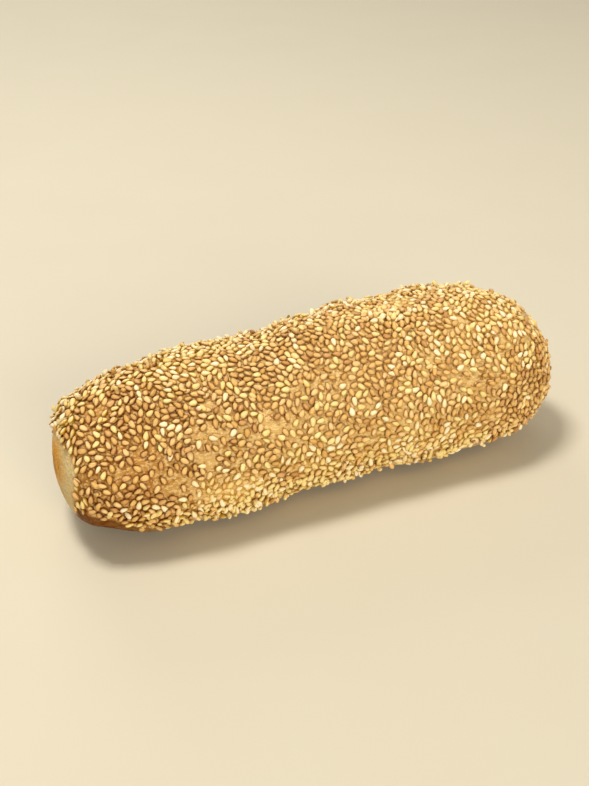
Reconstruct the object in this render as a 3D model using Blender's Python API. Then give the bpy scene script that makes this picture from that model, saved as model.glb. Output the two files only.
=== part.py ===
"""Long bread roll coated in sesame seeds.

The roll is one log of bread lying on its flat base. It runs along +X, from a blunt, bare
end at -X to a round, seeded end at +X. Its origin is the middle of its box, on the base.
The crust is a skin of rings: each ring is a rounded section whose height, width, sideways
bow and lift follow formulas along the roll. Low lumps and hollows make it uneven. Sesame
seeds lie on the crust and are fused to it, so the roll is one solid.
"""

import math
import random

import bmesh
import bpy
from mathutils import Matrix, Vector

# The loaf, in metres.
ROLL_LENGTH = 0.1836
HALF_HEIGHT = 0.02815
WIDTH_TO_HEIGHT = 1.188
TAPER_DEPTH = 0.0119
TAPER_REACH = 0.020
TAPER_POWER = 1.15
WAIST_DEPTH = 0.0017
WAIST_PLACE = 0.36
WAIST_SPREAD = 0.14
BOW = 0.0026
SWAY = 0.00145

# The section, as shares and as exponents of a superellipse.
WAIST_LEVEL = 0.412
UPPER_POWER = 1.87
LOWER_POWER = 2.33
BASE_CUT = 0.0010

# The two ends, in metres.
BLUNT_END = 0.0081
ROUND_END = 0.0413
END_POWER = 2.04
BLUNT_END_LIFT = 0.0086
BLUNT_LIFT_SHARE = 0.2
ROUND_END_LIFT = 0.0021
BLUNT_END_SKEW = 0.066
BLUNT_SKEW_SHARE = 0.25

# Unevenness of the crust: long waves, then single lumps and hollows.
# A wave has its height, its turns along the roll, its turns round it and its phase.
WAVES = (
    (0.00028, 3.0, 2.0, 0.7),
    (0.00022, 5.5, -3.0, 2.1),
    (0.00016, 8.0, 4.0, 4.0),
)
# A lump has its share of the length, its angle round the section in degrees (0 is +Y and
# 90 is the top), its height and its spread. A hollow has a negative height.
LUMPS = (
    (0.19, 60.0, -0.0006, 0.0040),
    (0.34, 64.0, 0.0004, 0.0060),
    (0.43, 60.0, -0.0011, 0.0040),
    (0.47, 60.0, 0.0008, 0.0040),
    (0.52, 60.0, -0.0008, 0.0040),
    (0.59, 64.0, 0.0011, 0.0060),
    (0.67, 64.0, -0.0012, 0.0070),
    (0.765, 66.0, 0.0009, 0.0050),
    (0.885, 79.0, -0.0007, 0.0045),
    (0.935, 86.0, 0.0005, 0.0045),
    (0.04, 228.0, -0.0006, 0.0040),
    (0.125, 225.0, 0.0005, 0.0050),
    (0.19, 225.0, -0.0006, 0.0040),
    (0.28, 221.0, 0.0007, 0.0070),
    (0.41, 221.0, -0.0006, 0.0040),
    (0.585, 221.0, -0.0008, 0.0080),
    (0.685, 225.0, 0.0007, 0.0060),
    (0.81, 220.0, 0.0005, 0.0060),
)
# The relief fades out over this angle to each side of the base's middle, in degrees.
LEVEL_BASE_SPAN = 38.0

# The skin's rings, and the fineness at which the crust's slope and crests are found.
SECTION_SIDES = 36
BLUNT_RINGS = 5
BODY_RINGS = 27
ROUND_RINGS = 9
SLOPE_STEP = 0.004
CREST_STEPS = 90
TIP_CLEARANCE = 0.001

# Sesame seeds, in metres.
SEED_COUNT = 240
SEED_TRIES = 40000
SEED_SPACING = 0.0086
SEED_LENGTH = 0.0033
SEED_LENGTH_SPREAD = 0.0004
SEED_WIDTH_SHARE = 0.62
SEED_THICKNESS_SHARE = 0.36
SEED_SIDES = 6
SEED_SUNK_SHARE = 0.30
SEED_DRAW = 20
BARE_BLUNT_END = 0.0042
BARE_BASE_HEIGHT = 0.0042
BARE_BASE_AT_BLUNT_END = 0.0075
STEEPEST_UNDERSIDE = -0.62

# A seed's rings: place along it from its blunt end and girth, both as shares.
SEED_RINGS = ((0.24, 0.92), (0.60, 0.80))

SEEDED_CRUST = ("seeded_crust", (0.80, 0.57, 0.30, 1.0), 0.55)


def half_height(share):
    """Give half the loaf's height at a share of its length."""
    taper = TAPER_DEPTH * math.exp(-((share * ROLL_LENGTH / TAPER_REACH) ** TAPER_POWER))
    waist = WAIST_DEPTH * math.exp(-(((share - WAIST_PLACE) / WAIST_SPREAD) ** 2))
    return HALF_HEIGHT - taper - waist


def end_girth(share):
    """Give the section's size at a share of the length, which falls to 0 at both ends."""
    to_blunt = 1.0 - share * ROLL_LENGTH / BLUNT_END
    to_round = 1.0 - (1.0 - share) * ROLL_LENGTH / ROUND_END
    inside = max(to_blunt, to_round, 0.0)
    return max(1.0 - inside**END_POWER, 0.0) ** (1.0 / END_POWER)


def lift(share):
    """Give how far the section's middle rises above its place on a flat base."""
    blunt = max(1.0 - share / BLUNT_LIFT_SHARE, 0.0)
    rounded = max(1.0 - (1.0 - share) * ROLL_LENGTH / ROUND_END, 0.0)
    return BLUNT_END_LIFT * blunt**2 + ROUND_END_LIFT * rounded**2


def spine(share):
    """Give the sideways place of the section's middle."""
    return BOW * math.sin(math.pi * share) - SWAY * math.sin(2.0 * math.pi * share)


def turn_between(angle, degrees):
    """Give the turn, within half a circle, from an angle in degrees to one in radians."""
    return (angle - math.radians(degrees) + math.pi) % math.tau - math.pi


def unevenness(share, angle):
    """Give the height of the lumps and hollows at a place on the crust."""
    height = sum(
        size * math.sin(math.tau * along * share + turns * angle + phase)
        for size, along, turns, phase in WAVES
    )
    for place, degrees, size, spread in LUMPS:
        along = (share - place) * ROLL_LENGTH
        around = turn_between(angle, degrees) * HALF_HEIGHT
        height += size * math.exp(-(along**2 + around**2) / (2.0 * spread**2))
    from_base = abs(turn_between(angle, 270.0)) / math.radians(LEVEL_BASE_SPAN)
    return height * min(from_base, 1.0) ** 3


def crust_point(share, angle):
    """Give the crust's point at a share of the length and an angle round the section."""
    across = math.cos(angle)
    upward = math.sin(angle)
    power = UPPER_POWER if upward >= 0.0 else LOWER_POWER
    radius = (abs(across) ** power + abs(upward) ** power) ** (-1.0 / power)
    girth = end_girth(share)
    tall = half_height(share)
    relief = unevenness(share, angle) * girth
    below = 2.0 * tall * WAIST_LEVEL
    above = 2.0 * tall - below
    side = (WIDTH_TO_HEIGHT * tall * girth * radius + relief) * across
    rise = ((above if upward >= 0.0 else below) * girth * radius + relief) * upward
    height = max(below + lift(share) + rise - BASE_CUT, 0.0)
    skew = BLUNT_END_SKEW * max(1.0 - share / BLUNT_SKEW_SHARE, 0.0) ** 1.5
    return Vector((share * ROLL_LENGTH + skew * side, spine(share) + side, height))


def crust_normal(share, angle):
    """Give the crust's outward direction at a place on it."""
    low = max(share - SLOPE_STEP, 0.5 * TIP_CLEARANCE)
    high = min(share + SLOPE_STEP, 1.0 - 0.5 * TIP_CLEARANCE)
    along = crust_point(high, angle) - crust_point(low, angle)
    around = crust_point(share, angle + SLOPE_STEP) - crust_point(share, angle - SLOPE_STEP)
    return around.cross(along).normalized()


def ring_shares():
    """List the rings' places along the roll, closer together where the ends turn in."""
    blunt = BLUNT_END / ROLL_LENGTH
    rounded = ROUND_END / ROLL_LENGTH
    shares = []
    for step in range(1, BLUNT_RINGS + 1):
        turn = 0.5 * math.pi * step / BLUNT_RINGS
        shares.append(blunt * (1.0 - math.cos(turn)))
    for step in range(1, BODY_RINGS):
        shares.append(blunt + (1.0 - rounded - blunt) * step / BODY_RINGS)
    for step in range(ROUND_RINGS):
        turn = 0.5 * math.pi * step / ROUND_RINGS
        shares.append(1.0 - rounded * (1.0 - math.sin(turn)))
    return shares


def build_loaf(name):
    """Make the bare loaf as a closed skin of rings with a point at each end."""
    mesh = bmesh.new()
    angles = [math.tau * side / SECTION_SIDES for side in range(SECTION_SIDES)]
    rings = [
        [mesh.verts.new(crust_point(share, angle)) for angle in angles]
        for share in ring_shares()
    ]
    for ring, following in zip(rings, rings[1:]):
        for side in range(SECTION_SIDES):
            after = (side + 1) % SECTION_SIDES
            mesh.faces.new((ring[side], ring[after], following[after], following[side]))
    for ring, share in ((rings[0], 0.0), (rings[-1], 1.0)):
        tip = mesh.verts.new(crust_point(share, 0.0))
        for side in range(SECTION_SIDES):
            after = (side + 1) % SECTION_SIDES
            mesh.faces.new((tip, ring[side], ring[after]))
    bmesh.ops.recalc_face_normals(mesh, faces=mesh.faces)
    data = bpy.data.meshes.new(name)
    mesh.to_mesh(data)
    mesh.free()
    loaf = bpy.data.objects.new(name, data)
    bpy.context.scene.collection.objects.link(loaf)
    return loaf


def seed_mesh():
    """Make one sesame seed of unit length: a flat teardrop along +X, thickness along Z."""
    mesh = bmesh.new()
    blunt = mesh.verts.new((-0.5, 0.0, 0.0))
    point = mesh.verts.new((0.5, 0.0, 0.0))
    rings = []
    for place, girth in SEED_RINGS:
        ring = []
        for side in range(SEED_SIDES):
            turn = math.tau * (side + 0.5) / SEED_SIDES
            across = 0.5 * SEED_WIDTH_SHARE * girth * math.cos(turn)
            upward = 0.5 * SEED_THICKNESS_SHARE * girth * math.sin(turn)
            ring.append(mesh.verts.new((place - 0.5, across, upward)))
        rings.append(ring)
    for side in range(SEED_SIDES):
        after = (side + 1) % SEED_SIDES
        mesh.faces.new((blunt, rings[0][side], rings[0][after]))
        mesh.faces.new((rings[0][side], rings[1][side], rings[1][after], rings[0][after]))
        mesh.faces.new((point, rings[1][side], rings[1][after]))
    bmesh.ops.recalc_face_normals(mesh, faces=mesh.faces)
    data = bpy.data.meshes.new("seed")
    mesh.to_mesh(data)
    mesh.free()
    return data


def carries_seeds(share, point, normal):
    """Say whether seeds lie at this place: not on the blunt end nor under the roll."""
    nearness = max(1.0 - share / BLUNT_SKEW_SHARE, 0.0)
    bare = BARE_BASE_HEIGHT + (BARE_BASE_AT_BLUNT_END - BARE_BASE_HEIGHT) * nearness
    on_end = share * ROLL_LENGTH < BARE_BLUNT_END
    return not on_end and point.z > bare and normal.z > STEEPEST_UNDERSIDE


def crest_places():
    """Give the places where the crust reaches furthest up, to each side and to the tip."""
    spots = [
        ((1.0 - TIP_CLEARANCE) * along / CREST_STEPS, math.tau * around / CREST_STEPS)
        for along in range(CREST_STEPS // 20, CREST_STEPS + 1)
        for around in range(CREST_STEPS)
    ]
    reaches = (Vector((0, 0, 1)), Vector((0, 1, 0)), Vector((0, -1, 0)), Vector((1, 0, 0)))
    return [max(spots, key=lambda spot: reach.dot(crust_point(*spot))) for reach in reaches]


def seed_places():
    """Draw places spread evenly over the seeded crust, each clear of the others."""
    draw = random.Random(SEED_DRAW)
    places = [
        (crust_point(*spot), crust_normal(*spot), draw.uniform(0.0, math.tau))
        for spot in crest_places()
    ]
    for _ in range(SEED_TRIES):
        if len(places) == SEED_COUNT:
            break
        share = draw.uniform(0.0, 1.0 - TIP_CLEARANCE)
        angle = draw.uniform(0.0, math.tau)
        heading = draw.uniform(0.0, math.tau)
        if draw.random() > end_girth(share):
            continue
        point = crust_point(share, angle)
        normal = crust_normal(share, angle)
        if not carries_seeds(share, point, normal):
            continue
        if all((point - other[0]).length > SEED_SPACING for other in places):
            places.append((point, normal, heading))
    return places


def add_seeds(loaf, collection):
    """Lay the seeds on the loaf's skin, the largest first."""
    draw = random.Random(SEED_DRAW + 1)
    data = seed_mesh()
    places = seed_places()
    lengths = sorted(
        (SEED_LENGTH + draw.uniform(-1.0, 1.0) * SEED_LENGTH_SPREAD for _ in places),
        reverse=True,
    )
    for number, ((point, normal, heading), length) in enumerate(zip(places, lengths)):
        seed = bpy.data.objects.new(f"seed_{number:03d}", data)
        sunk = length * SEED_THICKNESS_SHARE * (0.5 - SEED_SUNK_SHARE)
        facing = normal.to_track_quat("Z", "Y").to_matrix().to_4x4()
        on_skin = loaf.closest_point_on_mesh(point)[1]
        place = Matrix.Translation(on_skin + normal * sunk)
        seed.matrix_world = place @ facing @ Matrix.Rotation(heading, 4, "Z") @ Matrix.Scale(length, 4)
        collection.objects.link(seed)


def fuse(loaf, collection):
    """Join the seeds to the loaf with one union and remove the loose seeds."""
    union = loaf.modifiers.new("seeds", "BOOLEAN")
    union.operation = "UNION"
    union.operand_type = "COLLECTION"
    union.collection = collection
    union.solver = "EXACT"
    bpy.context.view_layer.update()
    evaluated = loaf.evaluated_get(bpy.context.evaluated_depsgraph_get())
    fused = bpy.data.meshes.new_from_object(evaluated)
    loaf.modifiers.clear()
    loaf.data = fused
    for seed in list(collection.objects):
        bpy.data.objects.remove(seed)
    bpy.data.collections.remove(collection)


def centre_on_base(loaf):
    """Move the mesh so that its box is centred over the origin and stands on Z = 0."""
    corners = [vertex.co for vertex in loaf.data.vertices]
    low = Vector(min(corner[axis] for corner in corners) for axis in range(3))
    high = Vector(max(corner[axis] for corner in corners) for axis in range(3))
    middle = (low + high) / 2.0
    loaf.data.transform(Matrix.Translation((-middle.x, -middle.y, -low.z)))


def crust_material():
    """Make the golden seeded crust's material."""
    name, colour, roughness = SEEDED_CRUST
    material = bpy.data.materials.new(name)
    material.use_nodes = True
    shader = material.node_tree.nodes["Principled BSDF"]
    shader.inputs["Base Color"].default_value = colour
    shader.inputs["Roughness"].default_value = roughness
    shader.inputs["Metallic"].default_value = 0.0
    material.diffuse_color = colour
    return material


def main():
    """Build the seeded roll."""
    for existing in list(bpy.data.objects):
        bpy.data.objects.remove(existing)
    loaf = build_loaf("seeded_roll")
    seeds = bpy.data.collections.new("seeds")
    bpy.context.scene.collection.children.link(seeds)
    bpy.context.view_layer.update()
    add_seeds(loaf, seeds)
    fuse(loaf, seeds)
    centre_on_base(loaf)
    loaf.data.materials.clear()
    loaf.data.materials.append(crust_material())
    loaf.data.shade_smooth()
    loaf.data.set_sharp_from_angle(angle=math.radians(40.0))


main()
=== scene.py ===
"""Looks of a long bread roll coated in sesame seeds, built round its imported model.

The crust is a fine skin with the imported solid's own form. Several thousand seeds are drawn
on it, settled until they lie side by side, and stacked where they are crowded. Each kind of
seed is one mesh. Sizes are in metres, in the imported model's frame: +X runs from the blunt,
bare end to the round end, +Z is up, and the flat base lies on Z = 0.

A place on the crust is a share of the length, from 0 at the blunt end to 1 at the round end,
and an angle round the section, from 0 at the far side (+Y) over the top at a quarter turn.
"""

from __future__ import annotations

import logging
import math
from dataclasses import dataclass
from enum import Enum

import bpy
import numpy as np
from mathutils import Matrix
from mathutils import Vector
from mathutils.bvhtree import BVHTree
from mathutils.kdtree import KDTree


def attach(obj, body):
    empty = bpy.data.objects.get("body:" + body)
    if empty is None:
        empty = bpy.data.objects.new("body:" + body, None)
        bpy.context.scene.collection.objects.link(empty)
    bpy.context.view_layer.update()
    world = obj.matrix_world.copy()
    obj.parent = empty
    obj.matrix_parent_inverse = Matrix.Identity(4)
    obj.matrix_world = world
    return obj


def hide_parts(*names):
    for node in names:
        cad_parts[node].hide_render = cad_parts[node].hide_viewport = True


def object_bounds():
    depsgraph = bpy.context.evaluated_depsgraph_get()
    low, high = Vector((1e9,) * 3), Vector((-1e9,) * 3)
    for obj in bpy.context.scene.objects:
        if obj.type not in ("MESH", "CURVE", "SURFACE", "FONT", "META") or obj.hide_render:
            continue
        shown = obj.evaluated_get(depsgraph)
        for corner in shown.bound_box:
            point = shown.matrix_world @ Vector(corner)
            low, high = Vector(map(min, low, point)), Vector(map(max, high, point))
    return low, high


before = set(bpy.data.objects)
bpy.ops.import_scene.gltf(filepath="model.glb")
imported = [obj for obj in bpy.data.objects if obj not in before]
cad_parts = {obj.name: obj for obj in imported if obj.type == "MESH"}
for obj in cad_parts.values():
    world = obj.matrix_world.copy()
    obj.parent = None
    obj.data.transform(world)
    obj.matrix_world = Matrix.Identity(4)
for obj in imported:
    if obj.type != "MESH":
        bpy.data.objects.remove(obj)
CAD_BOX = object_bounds()

BODY = "root"
NODE = "seeded_roll"

LOG = logging.getLogger("seeded_roll")

Rgb = tuple[float, float, float]
Table = tuple[tuple[float, ...], ...]
# One row for each seed under each name, such as point, facing, heading, share and angle.
Seeds = dict[str, np.ndarray]

LEAST_LENGTH = 1e-12
# Where the darker, blunt end of the roll starts and stops fading into the rest, along +X.
BLUNT_FADE = (-0.075, 0.025)
GLOSS_TINT: Rgb = (1.0, 0.82, 0.52)


def shade(red: int, green: int, blue: int) -> Rgb:
    """Turn a colour in screen values from 0 to 255 into the linear colour a shader takes.

    Args:
        red: Red, from 0 to 255.
        green: Green, from 0 to 255.
        blue: Blue, from 0 to 255.

    Returns:
        The linear colour.
    """
    parts = [value / 255.0 for value in (red, green, blue)]
    return tuple(
        part / 12.92 if part <= 0.04045 else ((part + 0.055) / 1.055) ** 2.4 for part in parts
    )


def turn_between(angle: np.ndarray, degrees: float) -> np.ndarray:
    """Give the turns, within half a circle, from an angle in degrees to angles in radians."""
    return (angle - math.radians(degrees) + math.pi) % math.tau - math.pi


def unit(vectors: np.ndarray) -> np.ndarray:
    """Scale vectors to length 1."""
    return vectors / np.maximum(np.linalg.norm(vectors, axis=-1, keepdims=True), LEAST_LENGTH)


def falloff(*ratios: np.ndarray) -> np.ndarray:
    """Fall softly from 1 in the middle, by distances from it as multiples of their spreads."""
    return np.exp(-0.5 * sum(ratio**2 for ratio in ratios))


def ramp(values: np.ndarray, start: float = 0.0, reach: float = 1.0) -> np.ndarray:
    """Rise evenly from 0 where the values start to 1 a reach further on."""
    return np.clip((values - start) / reach, 0.0, 1.0)


def read_places(mesh: bpy.types.Mesh) -> np.ndarray:
    """Read a mesh's points.

    Args:
        mesh: The mesh.

    Returns:
        One row for each point.
    """
    places = np.empty(len(mesh.vertices) * 3, np.float32)
    mesh.vertices.foreach_get("co", places)
    return places.reshape(-1, 3).astype(float)


def write_places(mesh: bpy.types.Mesh, places: np.ndarray) -> None:
    """Move a mesh's points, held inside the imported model's box.

    Args:
        mesh: The mesh.
        places: The points' new places.
    """
    held = np.clip(places, *(np.array(corner) for corner in CAD_BOX))
    mesh.vertices.foreach_set("co", held.astype(np.float32).ravel())
    mesh.update()


def write_values(mesh: bpy.types.Mesh, name: str, values: np.ndarray) -> None:
    """Keep a number or a vector for each point of a mesh.

    Args:
        mesh: The mesh.
        name: The name to keep them under.
        values: The numbers or vectors.
    """
    kind, part = ("FLOAT", "value") if values.ndim == 1 else ("FLOAT_VECTOR", "vector")
    kept = mesh.attributes.new(name, kind, "POINT")
    kept.data.foreach_set(part, values.astype(np.float32).ravel())


def search_tree(points: np.ndarray) -> KDTree:
    """Make a tree that finds points by their place.

    Args:
        points: The points.

    Returns:
        The tree, which gives each point's number.
    """
    tree = KDTree(len(points))
    for number, point in enumerate(points.tolist()):
        tree.insert(point, number)
    tree.balance()
    return tree


# Node trees


class Wire:
    """One output of a node, on which arithmetic adds Math nodes."""

    def __init__(self, maker: NodeMaker, node: bpy.types.Node, output: str | int) -> None:
        """Keep the maker of the node's tree, the node, and the output's name or number."""
        self.maker, self.node, self.output = maker, node, output

    @property
    def socket(self) -> bpy.types.NodeSocket:
        """Give the output's socket."""
        return self.node.outputs[self.output]

    def beside(self, output: str | int) -> Wire:
        """Give another output of the same node."""
        return Wire(self.maker, self.node, output)

    def __add__(self, other: Wire | float) -> Wire:
        """Add a value."""
        return self.maker.math("ADD", self, other)

    def __sub__(self, other: Wire | float) -> Wire:
        """Take a value away."""
        return self.maker.math("SUBTRACT", self, other)

    def __rsub__(self, other: float) -> Wire:
        """Take this value away from a number."""
        return self.maker.math("SUBTRACT", other, self)

    def __mul__(self, other: Wire | float) -> Wire:
        """Multiply by a value."""
        return self.maker.math("MULTIPLY", self, other)

    def __truediv__(self, other: Wire | float) -> Wire:
        """Divide by a value."""
        return self.maker.math("DIVIDE", self, other)

    def __rtruediv__(self, other: float) -> Wire:
        """Divide a number by this value."""
        return self.maker.math("DIVIDE", other, self)

    __radd__ = __add__
    __rmul__ = __mul__

    def clamped(self) -> Wire:
        """Hold the value between 0 and 1."""
        return self.maker.math("MULTIPLY", self, 1.0, clamp=True)

    def swing(self, width: float) -> Wire:
        """Swing about 0 by a width, where the value is noise about one half."""
        return (self - 0.5) * width

    def ease(self, low: float, high: float) -> Wire:
        """Rise smoothly from 0 where the value is low to 1 where it is high."""
        sockets = {"Value": self, "From Min": low, "From Max": high}
        return self.maker.node("ShaderNodeMapRange", sockets, "Result", interpolation_type="SMOOTHSTEP")


class NodeMaker:
    """Adds nodes to one tree, of a material or of geometry, and links what they take."""

    def __init__(self, tree: bpy.types.NodeTree) -> None:
        """Keep the tree that the nodes go into."""
        self.tree = tree

    def node(
        self, kind: str, sockets: dict | None = None, output: str | int = 0, **settings: object
    ) -> Wire:
        """Add a node.

        Args:
            kind: The node's type.
            sockets: Values or wires for its inputs, by name or number.
            output: The name or number of the output that is given back.
            **settings: The node's properties, which are set first.

        Returns:
            The output.
        """
        made = self.tree.nodes.new(kind)
        for name, value in settings.items():
            setattr(made, name, value)
        for name, value in (sockets or {}).items():
            self.feed(made.inputs[name], value)
        return Wire(self, made, output)

    def feed(self, socket: bpy.types.NodeSocket, value: object) -> None:
        """Link a wire to an input socket, or set the socket to a plain value.

        Args:
            socket: The input socket.
            value: A wire, or a value of the socket's own kind, with a colour as three numbers.
        """
        if isinstance(value, Wire):
            self.tree.links.new(value.socket, socket)
        elif socket.type == "RGBA":
            socket.default_value = (*value, 1.0)
        else:
            socket.default_value = value

    def math(self, operation: str, *values: Wire | float, clamp: bool = False) -> Wire:
        """Add a Math node on one or more values."""
        return self.node("ShaderNodeMath", dict(enumerate(values)), operation=operation, use_clamp=clamp)

    def vector(self, operation: str, *values: Wire | tuple) -> Wire:
        """Add a Vector Math node on one or more vectors."""
        return self.node("ShaderNodeVectorMath", dict(enumerate(values)), operation=operation)

    def mix(self, share: Wire | float, first: Wire | Rgb, second: Wire | Rgb) -> Wire:
        """Blend two colours, on the node's colour sockets, by a share, which is 0 for the first."""
        return self.node("ShaderNodeMix", {0: share, 6: first, 7: second}, 2, data_type="RGBA")

    def split(self, vector: Wire) -> list[Wire]:
        """Give a vector's three parts."""
        parts = self.node("ShaderNodeSeparateXYZ", {0: vector})
        return [parts.beside(axis) for axis in range(3)]

    def join(self, *parts: Wire) -> Wire:
        """Make a vector of three parts."""
        return self.node("ShaderNodeCombineXYZ", dict(enumerate(parts)))


class Surface(NodeMaker):
    """A material in the making, round its Principled shader."""

    def __init__(self, name: str) -> None:
        """Start an empty material with a Principled shader.

        Args:
            name: The material's name.
        """
        self.material = bpy.data.materials.new(name)
        self.material.use_nodes = True
        super().__init__(self.material.node_tree)
        self.shader = self.tree.nodes["Principled BSDF"]
        self.place = self.node("ShaderNodeTexCoord", None, "Object")

    def toast(self, least: float) -> Wire:
        """Fall from 1 at the darker, blunt end of the roll to a least value along it."""
        return 1.0 - self.split(self.place)[0].ease(*BLUNT_FADE) * (1.0 - least)

    def attribute(self, name: str) -> Wire:
        """Read one of the mesh's own values."""
        return self.node("ShaderNodeAttribute", None, "Fac", attribute_name=name)

    def noise(self, vector: Wire, detail: float) -> Wire:
        """Give noise from 0 to 1 over a vector, with marks of about unit size."""
        return self.node("ShaderNodeTexNoise", {"Vector": vector, "Scale": 1.0, "Detail": detail})

    def grain(self, size: float, longer: float, detail: float, offset: float) -> Wire:
        """Give noise from 0 to 1 over the roll.

        Args:
            size: The size of its marks, in metres.
            longer: How many times longer they are along the roll.
            detail: How many finer layers it has.
            offset: A shift, in metres, that makes one noise differ from another.

        Returns:
            The noise.
        """
        moved = self.vector("ADD", self.place, (offset, offset, offset))
        scale = (1.0 / (size * longer), 1.0 / size, 1.0 / size)
        return self.noise(self.vector("MULTIPLY", moved, scale), detail)

    def finish(
        self, colour: Wire, roughness: Wire | float, height: Wire, depth: float, **values: float | Rgb
    ) -> bpy.types.Material:
        """Link the shader.

        Args:
            colour: Base colour.
            roughness: Roughness.
            height: Height of the fine relief, about 0 to 1.
            depth: What a height of 1 measures, in metres.
            **values: Plain values of other sockets, with _ for the spaces in their names.

        Returns:
            The finished material.
        """
        bump = self.node("ShaderNodeBump", {"Height": height, "Distance": depth, "Strength": 1.0})
        sockets = {"Base Color": colour, "Roughness": roughness, "Normal": bump}
        sockets.update({name.replace("_", " "): value for name, value in values.items()})
        for name, value in sockets.items():
            self.feed(self.shader.inputs[name], value)
        return self.material


class ShapeTree(NodeMaker):
    """A geometry tree with named inputs, and the modifier that runs it on a mesh."""

    def __init__(self, name: str, inputs: dict[str, object]) -> None:
        """Start a tree.

        Args:
            name: The tree's name.
            inputs: Each input's name and value. A value is a number or a material.
        """
        super().__init__(bpy.data.node_groups.new(name, "GeometryNodeTree"))
        self.values = inputs
        face = self.tree.interface
        face.new_socket("Geometry", in_out="INPUT", socket_type="NodeSocketGeometry")
        face.new_socket("Geometry", in_out="OUTPUT", socket_type="NodeSocketGeometry")
        self.identifiers = {
            label: face.new_socket(label, in_out="INPUT", socket_type=self.socket_type(value)).identifier
            for label, value in inputs.items()
        }
        self.entry = self.node("NodeGroupInput")

    @staticmethod
    def socket_type(value: object) -> str:
        """Name the socket type that holds a value.

        Args:
            value: A number or a material.

        Returns:
            The type's name.
        """
        if isinstance(value, bpy.types.Material):
            return "NodeSocketMaterial"
        return "NodeSocketInt" if isinstance(value, int) else "NodeSocketFloat"

    def given(self, name: str) -> Wire:
        """Read one of the tree's inputs."""
        return self.entry.beside(name)

    def named(self, name: str, data_type: str = "FLOAT") -> Wire:
        """Read one of the mesh's own values."""
        return self.node("GeometryNodeInputNamedAttribute", {"Name": name}, data_type=data_type)

    def store(self, geometry: Wire, name: str, value: Wire) -> Wire:
        """Keep a number for each of the geometry's points under a name."""
        sockets = {"Geometry": geometry, "Name": name, "Value": value}
        return self.node("GeometryNodeStoreNamedAttribute", sockets, data_type="FLOAT", domain="POINT")

    def random(self, low: Wire | float, high: Wire | float, key: int) -> Wire:
        """Draw a number for each element, on the node's number sockets, apart from other keys."""
        sockets = {2: low, 3: high, "Seed": self.given("Random Seed") + float(key)}
        return self.node("FunctionNodeRandomValue", sockets, 1, data_type="FLOAT")

    def end(self, geometry: Wire) -> None:
        """Close the tree: realize instances, set the material, and hand the mesh out.

        Args:
            geometry: The finished shape.
        """
        real = self.node("GeometryNodeRealizeInstances", {"Geometry": geometry})
        sockets = {"Geometry": real, "Material": self.given("Material")}
        self.node("NodeGroupOutput", {"Geometry": self.node("GeometryNodeSetMaterial", sockets)})

    def run(self, name: str, mesh: bpy.types.Mesh) -> bpy.types.Object:
        """Run the tree on a mesh.

        Args:
            name: The new piece's name.
            mesh: The mesh that the tree starts from, which is used up.

        Returns:
            A new object with a plain mesh and no modifier.
        """
        source = bpy.data.objects.new(name, mesh)
        bpy.context.scene.collection.objects.link(source)
        modifier = source.modifiers.new("shape", "NODES")
        modifier.node_group = self.tree
        for label, identifier in self.identifiers.items():
            modifier[identifier] = self.values[label]
        bpy.context.view_layer.update()
        evaluated = source.evaluated_get(bpy.context.evaluated_depsgraph_get())
        result = bpy.data.meshes.new_from_object(evaluated)
        source.modifiers.clear()
        source.data = result
        bpy.data.meshes.remove(mesh)
        result.name = name
        return source


# The loaf


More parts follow.
